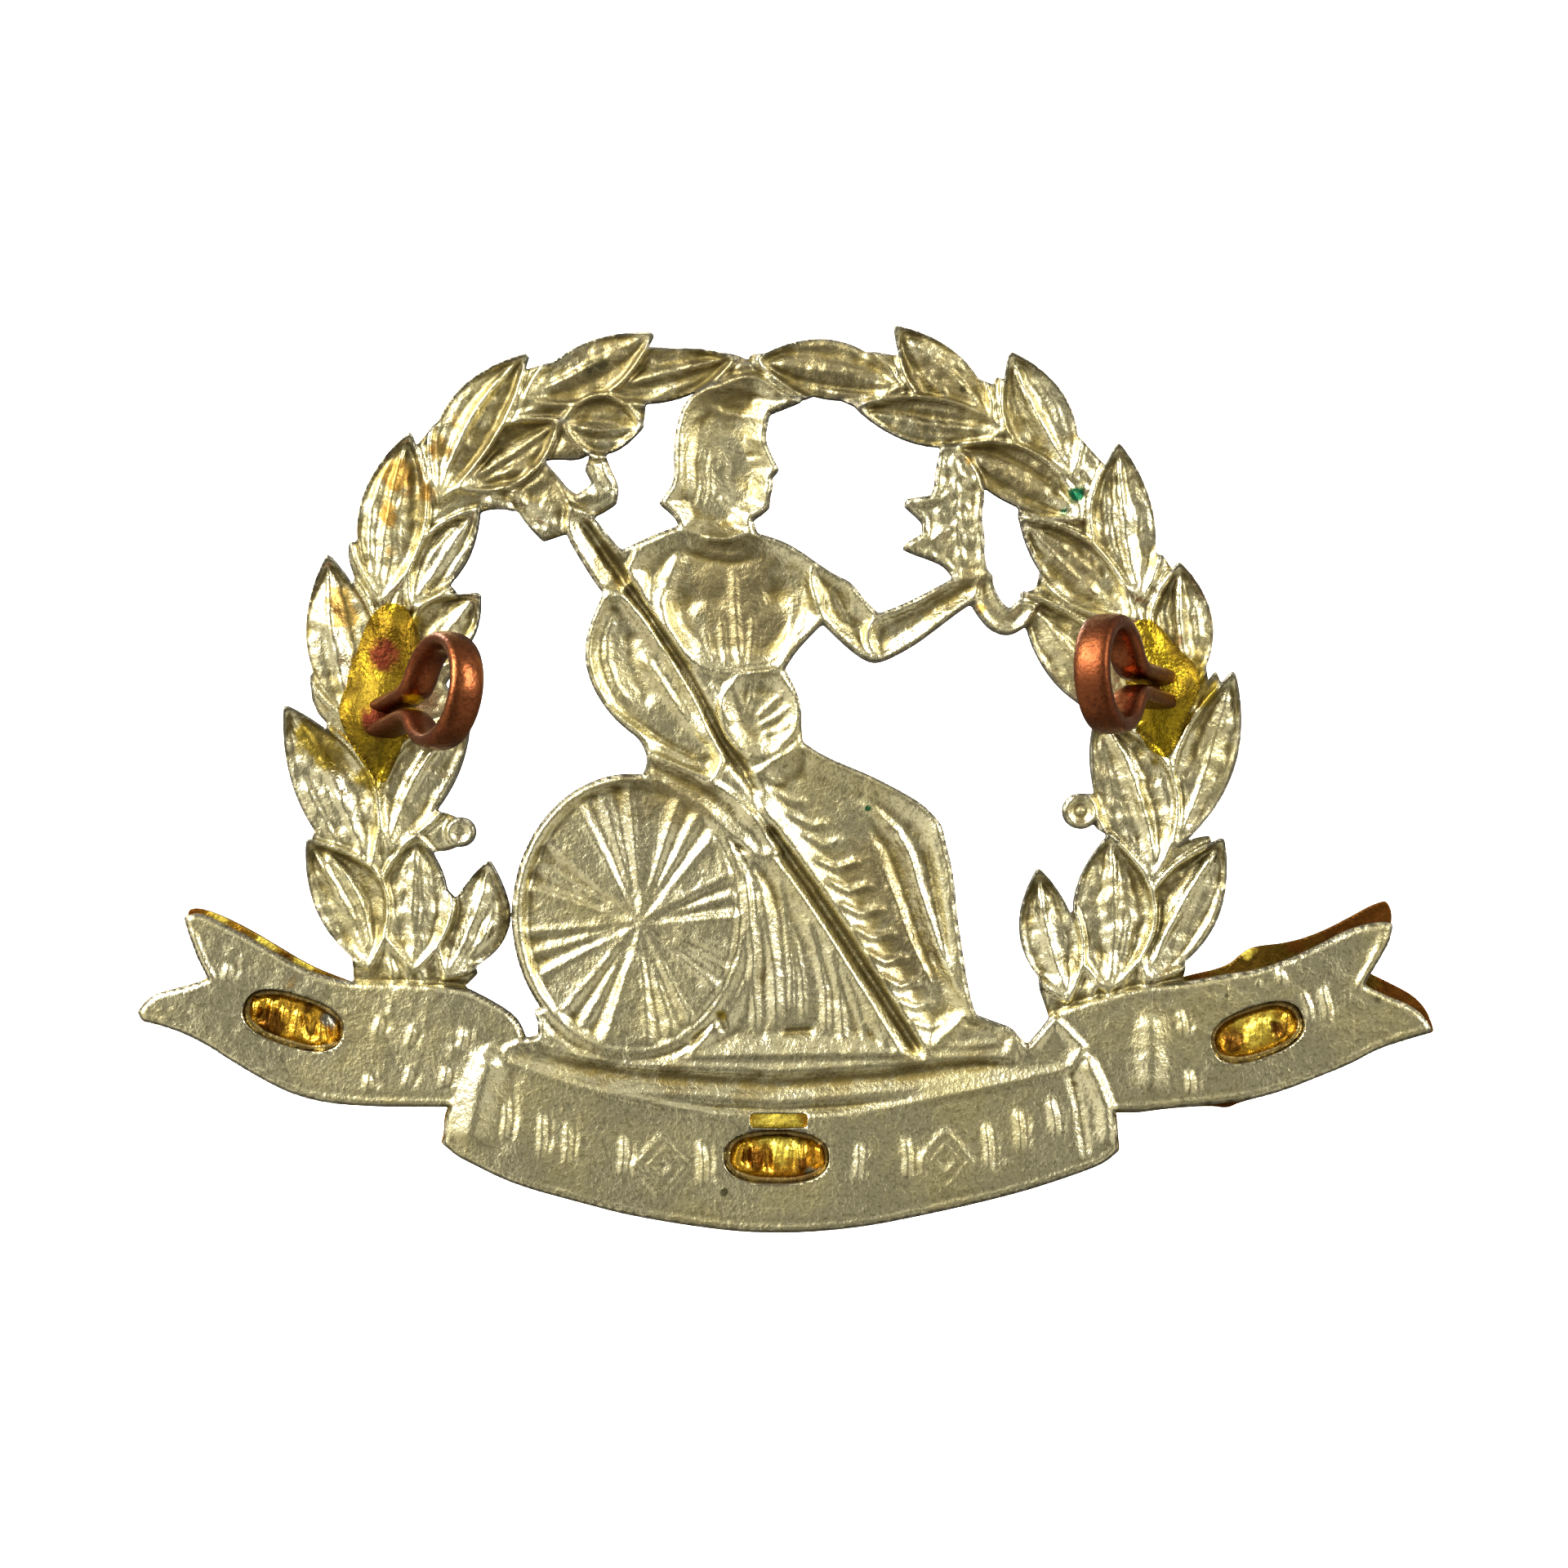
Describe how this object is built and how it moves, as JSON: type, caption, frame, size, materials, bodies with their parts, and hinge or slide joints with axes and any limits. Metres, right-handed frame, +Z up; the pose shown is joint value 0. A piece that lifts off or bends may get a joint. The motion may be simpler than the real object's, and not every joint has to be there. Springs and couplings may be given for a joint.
{
  "type": "cap badge",
  "caption": "Bi-metal cap badge seen complete with its back: struck wreath and seated figure, brass scroll overlay and two brazed copper loops.",
  "frame": {"origin": "on the back plane, at the figure's waist, midway between the two loops across the badge", "axes": "+Z up as the badge is worn, +Y out of the back towards the wearer, front faces -Y, +X is the badge's left as its back is seen"},
  "size_m": [0.0431, 0.0074, 0.0301],
  "materials": {
    "white_metal": "struck, tarnished",
    "gilding_metal": "struck, tarnished",
    "copper": "drawn, oxidised",
    "braze": "as run",
    "solder": "as run, dull"
  },
  "bodies": {
    "root": {"badge_plate": "white_metal", "scroll_overlay": "gilding_metal", "lug_left": "copper", "lug_right": "copper", "lug_braze_left": "braze", "lug_braze_right": "braze", "window_solder_left": "solder", "window_solder_centre": "solder", "window_solder_right": "solder"}
  },
  "joints": []
}
